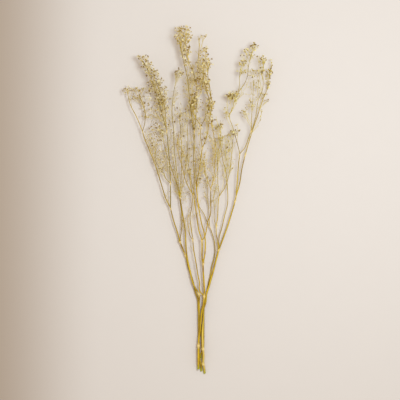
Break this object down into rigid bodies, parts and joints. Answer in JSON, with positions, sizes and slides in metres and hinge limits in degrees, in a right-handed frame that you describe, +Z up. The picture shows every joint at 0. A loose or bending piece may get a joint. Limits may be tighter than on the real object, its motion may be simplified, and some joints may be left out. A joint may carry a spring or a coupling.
{
  "type": "dried baby's breath bunch",
  "caption": "Loose bunch of dried baby's breath lying flat: cut stems together at the foot, forking out into airy heads of tiny florets.",
  "frame": {"origin": "on the surface that the bunch lies on, under the middle of its bounding box", "axes": "+Y along the stems towards the flower heads, +X to the right seen from above with the heads away, +Z up"},
  "size_m": [0.2397, 0.5535, 0.0453],
  "materials": {
    "spray_left": "dry matt straw-coloured stems and tan papery florets",
    "spray_inner": "dry matt olive-brown stem and tan papery florets",
    "spray_mid_left": "dry matt straw-coloured stems and pale tan papery florets",
    "spray_right": "dry satin golden stems and pale tan papery florets",
    "spray_centre": "dry satin golden stems and yellow-brown papery florets"
  },
  "bodies": {
    "root": {"spray_left": "spray_left", "spray_inner": "spray_inner", "spray_mid_left": "spray_mid_left", "spray_right": "spray_right", "spray_centre": "spray_centre"}
  },
  "joints": []
}
